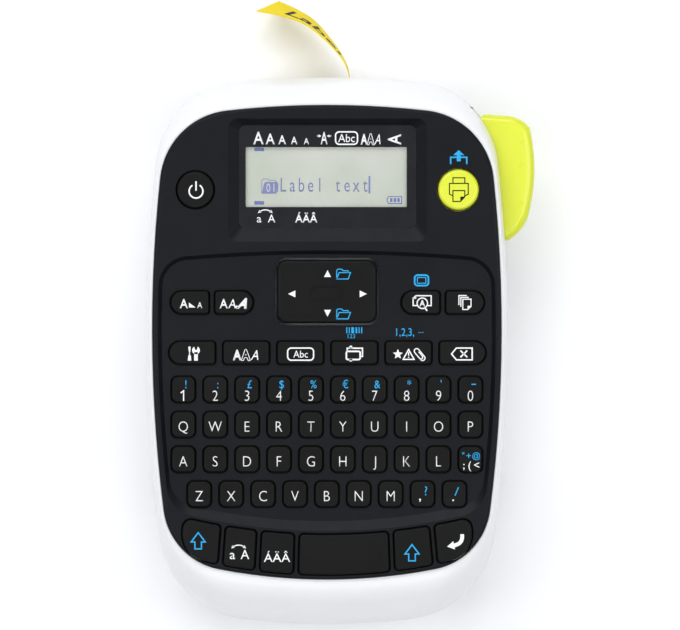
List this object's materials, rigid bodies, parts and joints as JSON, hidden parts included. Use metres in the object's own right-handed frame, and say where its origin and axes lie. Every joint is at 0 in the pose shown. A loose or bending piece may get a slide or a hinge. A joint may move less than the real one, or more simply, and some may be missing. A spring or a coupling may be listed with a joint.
{
  "type": "label maker",
  "caption": "Hand-held electronic label maker with a typewriter keypad, display, navigation pad, side cutter lever and a printed label in its outlet.",
  "frame": {"origin": "on the flat back, under the centre of the face", "axes": "+Z out of the face, +Y towards the display end, +X to the cutter lever"},
  "size_m": [0.12, 0.195, 0.0459],
  "materials": {
    "white_casing": "smooth white",
    "black_face": "deep gloss black",
    "key_plastic": "gloss black",
    "lime_plastic": "satin lime",
    "window_glass": "dark clear window",
    "lcd_panel": "grey green",
    "circuit_board": "solder mask",
    "silicone": "matt grey",
    "chassis_plastic": "matt dark grey",
    "cassette_plastic": "smoked grey",
    "label_film": "yellow film",
    "ribbon_film": "black film",
    "acetal": "off-white",
    "steel": "turned",
    "zinc_can": "plated can",
    "platen_rubber": "ground rubber",
    "head_ceramic": "glazed ceramic",
    "heat_sink_metal": "bare",
    "battery_wrap": "printed sleeve",
    "plated_contact": "nickel plated"
  },
  "bodies": {
    "housing": {"rear_shell": "white_casing", "front_frame": "white_casing", "face_panel": "black_face", "display_window": "window_glass", "lcd_module": "lcd_panel", "main_board": "circuit_board", "keypad_mat": "silicone", "inner_chassis": "chassis_plastic", "lever_pivot_pin": "steel", "cutter_spring": "steel", "cutter_anvil": "chassis_plastic", "cassette_case": "cassette_plastic", "cassette_lid": "cassette_plastic", "label_tape": "label_film", "print_head": "head_ceramic", "head_heat_sink": "heat_sink_metal", "drive_motor": "zinc_can", "reduction_axle": "steel", "batteries": "battery_wrap", "battery_springs": "plated_contact", "battery_contacts": "plated_contact", "case_screws": "steel", "dc_jack": "chassis_plastic"},
    "cover": {"compartment_cover": "white_casing"},
    "lever": {"cutter_lever": "lime_plastic"},
    "cutter_carriage": {"cutter_slide": "acetal", "cutter_blade": "steel"},
    "platen": {"platen_roller": "platen_rubber", "platen_shaft": "steel", "platen_gear": "acetal"},
    "reduction": {"reduction_gear": "acetal"},
    "pinion": {"motor_pinion": "acetal"},
    "takeup": {"takeup_gear": "acetal", "ribbon_takeup_spool": "ribbon_film"},
    "supply": {"ribbon_supply_spool": "ribbon_film"},
    "roll": {"tape_roll": "label_film"},
    "pad_pivot": {"nav_pivot": "steel"},
    "pad": {"navigation_pad": "key_plastic"},
    "power_key": {"power_key": "key_plastic"},
    "print_key": {"print_key": "lime_plastic"},
    "size_key": {"size_key": "key_plastic"},
    "font_key": {"font_key": "key_plastic"},
    "preview_key": {"preview_key": "key_plastic"},
    "copies_key": {"copies_key": "key_plastic"},
    "settings_key": {"settings_key": "key_plastic"},
    "style_key": {"style_key": "key_plastic"},
    "frame_key": {"frame_key": "key_plastic"},
    "layout_key": {"layout_key": "key_plastic"},
    "symbol_key": {"symbol_key": "key_plastic"},
    "delete_key": {"delete_key": "key_plastic"},
    "number_keys": {"number_keys": "key_plastic"},
    "upper_letter_keys": {"upper_letter_keys": "key_plastic"},
    "home_letter_keys": {"home_letter_keys": "key_plastic"},
    "lower_letter_keys": {"lower_letter_keys": "key_plastic"},
    "left_shift_key": {"left_shift_key": "key_plastic"},
    "case_key": {"case_key": "key_plastic"},
    "accent_key": {"accent_key": "key_plastic"},
    "space_key": {"space_key": "key_plastic"},
    "right_shift_key": {"right_shift_key": "key_plastic"},
    "enter_key": {"enter_key": "key_plastic"}
  },
  "joints": [
    {"name": "cover_hinge", "type": "hinge", "parent": "housing", "child": "cover", "pos_m": [0, -0.0709, 0.0014], "axis": [-1, 0, 0], "range_deg": [0, 90]},
    {"name": "lever_press", "type": "hinge", "parent": "housing", "child": "lever", "pos_m": [0.05, 0.034, 0.028], "axis": [0, 0, 1], "range_deg": [0, 9], "stiffness_Nm_per_rad": 0.5, "springref_deg": -4.58, "deforming": ["cutter_spring"]},
    {"name": "cutter_travel", "type": "slide", "parent": "housing", "child": "cutter_carriage", "axis": [-1, 0, 0], "range_m": [0, 0.0059], "deforming": ["cutter_spring"]},
    {"name": "platen_spin", "type": "hinge", "parent": "housing", "child": "platen", "pos_m": [0.0123, 0.0665, 0.015], "axis": [0, 0, 1], "continuous": true},
    {"name": "reduction_spin", "type": "hinge", "parent": "housing", "child": "reduction", "pos_m": [0.01447, 0.05226, 0.031], "axis": [0, 0, 1], "continuous": true},
    {"name": "pinion_spin", "type": "hinge", "parent": "housing", "child": "pinion", "pos_m": [0.027, 0.042, 0.032], "axis": [0, 0, 1], "continuous": true},
    {"name": "takeup_spin", "type": "hinge", "parent": "housing", "child": "takeup", "pos_m": [0.00045, 0.04898, 0.02], "axis": [0, 0, 1], "continuous": true},
    {"name": "supply_spin", "type": "hinge", "parent": "housing", "child": "supply", "pos_m": [-0.002, 0.027, 0.014], "axis": [0, 0, 1], "continuous": true},
    {"name": "roll_spin", "type": "hinge", "parent": "housing", "child": "roll", "pos_m": [-0.024, 0.034, 0.014], "axis": [0, 0, 1], "continuous": true},
    {"name": "pad_tilt_x", "type": "hinge", "parent": "housing", "child": "pad_pivot", "pos_m": [0, 0.0155, 0.0406], "axis": [1, 0, 0], "range_deg": [-2.2, 2.2], "stiffness_Nm_per_rad": 0.08},
    {"name": "pad_tilt_y", "type": "hinge", "parent": "pad_pivot", "child": "pad", "pos_m": [0, 0.0155, 0.0406], "axis": [0, 1, 0], "range_deg": [-2.2, 2.2], "stiffness_Nm_per_rad": 0.08},
    {"name": "power_key_press", "type": "slide", "parent": "housing", "child": "power_key", "axis": [0, 0, -1], "range_m": [0, 0.0008], "stiffness_N_per_m": 400, "springref_m": -0.001},
    {"name": "print_key_press", "type": "slide", "parent": "housing", "child": "print_key", "axis": [0, 0, -1], "range_m": [0, 0.0008], "stiffness_N_per_m": 400, "springref_m": -0.001},
    {"name": "size_key_press", "type": "slide", "parent": "housing", "child": "size_key", "axis": [0, 0, -1], "range_m": [0, 0.0008], "stiffness_N_per_m": 400, "springref_m": -0.001},
    {"name": "font_key_press", "type": "slide", "parent": "housing", "child": "font_key", "axis": [0, 0, -1], "range_m": [0, 0.0008], "stiffness_N_per_m": 400, "springref_m": -0.001},
    {"name": "preview_key_press", "type": "slide", "parent": "housing", "child": "preview_key", "axis": [0, 0, -1], "range_m": [0, 0.0008], "stiffness_N_per_m": 400, "springref_m": -0.001},
    {"name": "copies_key_press", "type": "slide", "parent": "housing", "child": "copies_key", "axis": [0, 0, -1], "range_m": [0, 0.0008], "stiffness_N_per_m": 400, "springref_m": -0.001},
    {"name": "settings_key_press", "type": "slide", "parent": "housing", "child": "settings_key", "axis": [0, 0, -1], "range_m": [0, 0.0008], "stiffness_N_per_m": 400, "springref_m": -0.001},
    {"name": "style_key_press", "type": "slide", "parent": "housing", "child": "style_key", "axis": [0, 0, -1], "range_m": [0, 0.0008], "stiffness_N_per_m": 400, "springref_m": -0.001},
    {"name": "frame_key_press", "type": "slide", "parent": "housing", "child": "frame_key", "axis": [0, 0, -1], "range_m": [0, 0.0008], "stiffness_N_per_m": 400, "springref_m": -0.001},
    {"name": "layout_key_press", "type": "slide", "parent": "housing", "child": "layout_key", "axis": [0, 0, -1], "range_m": [0, 0.0008], "stiffness_N_per_m": 400, "springref_m": -0.001},
    {"name": "symbol_key_press", "type": "slide", "parent": "housing", "child": "symbol_key", "axis": [0, 0, -1], "range_m": [0, 0.0008], "stiffness_N_per_m": 400, "springref_m": -0.001},
    {"name": "delete_key_press", "type": "slide", "parent": "housing", "child": "delete_key", "axis": [0, 0, -1], "range_m": [0, 0.0008], "stiffness_N_per_m": 400, "springref_m": -0.001},
    {"name": "number_keys_press", "type": "slide", "parent": "housing", "child": "number_keys", "axis": [0, 0, -1], "range_m": [0, 0.0008], "stiffness_N_per_m": 400, "springref_m": -0.001},
    {"name": "upper_letter_keys_press", "type": "slide", "parent": "housing", "child": "upper_letter_keys", "axis": [0, 0, -1], "range_m": [0, 0.0008], "stiffness_N_per_m": 400, "springref_m": -0.001},
    {"name": "home_letter_keys_press", "type": "slide", "parent": "housing", "child": "home_letter_keys", "axis": [0, 0, -1], "range_m": [0, 0.0008], "stiffness_N_per_m": 400, "springref_m": -0.001},
    {"name": "lower_letter_keys_press", "type": "slide", "parent": "housing", "child": "lower_letter_keys", "axis": [0, 0, -1], "range_m": [0, 0.0008], "stiffness_N_per_m": 400, "springref_m": -0.001},
    {"name": "left_shift_key_press", "type": "slide", "parent": "housing", "child": "left_shift_key", "axis": [0, 0, -1], "range_m": [0, 0.0008], "stiffness_N_per_m": 400, "springref_m": -0.001},
    {"name": "case_key_press", "type": "slide", "parent": "housing", "child": "case_key", "axis": [0, 0, -1], "range_m": [0, 0.0008], "stiffness_N_per_m": 400, "springref_m": -0.001},
    {"name": "accent_key_press", "type": "slide", "parent": "housing", "child": "accent_key", "axis": [0, 0, -1], "range_m": [0, 0.0008], "stiffness_N_per_m": 400, "springref_m": -0.001},
    {"name": "space_key_press", "type": "slide", "parent": "housing", "child": "space_key", "axis": [0, 0, -1], "range_m": [0, 0.0008], "stiffness_N_per_m": 400, "springref_m": -0.001},
    {"name": "right_shift_key_press", "type": "slide", "parent": "housing", "child": "right_shift_key", "axis": [0, 0, -1], "range_m": [0, 0.0008], "stiffness_N_per_m": 400, "springref_m": -0.001},
    {"name": "enter_key_press", "type": "slide", "parent": "housing", "child": "enter_key", "axis": [0, 0, -1], "range_m": [0, 0.0008], "stiffness_N_per_m": 400, "springref_m": -0.001}
  ],
  "couplings": [
    {"joint": "cutter_travel", "follows": "lever_press", "m_per_rad": 0.037},
    {"joint": "reduction_spin", "follows": "platen_spin", "ratio": -2},
    {"joint": "pinion_spin", "follows": "platen_spin", "ratio": 8.8},
    {"joint": "takeup_spin", "follows": "platen_spin", "ratio": 1},
    {"joint": "supply_spin", "follows": "platen_spin", "ratio": 0.625},
    {"joint": "roll_spin", "follows": "platen_spin", "ratio": -0.294}
  ]
}
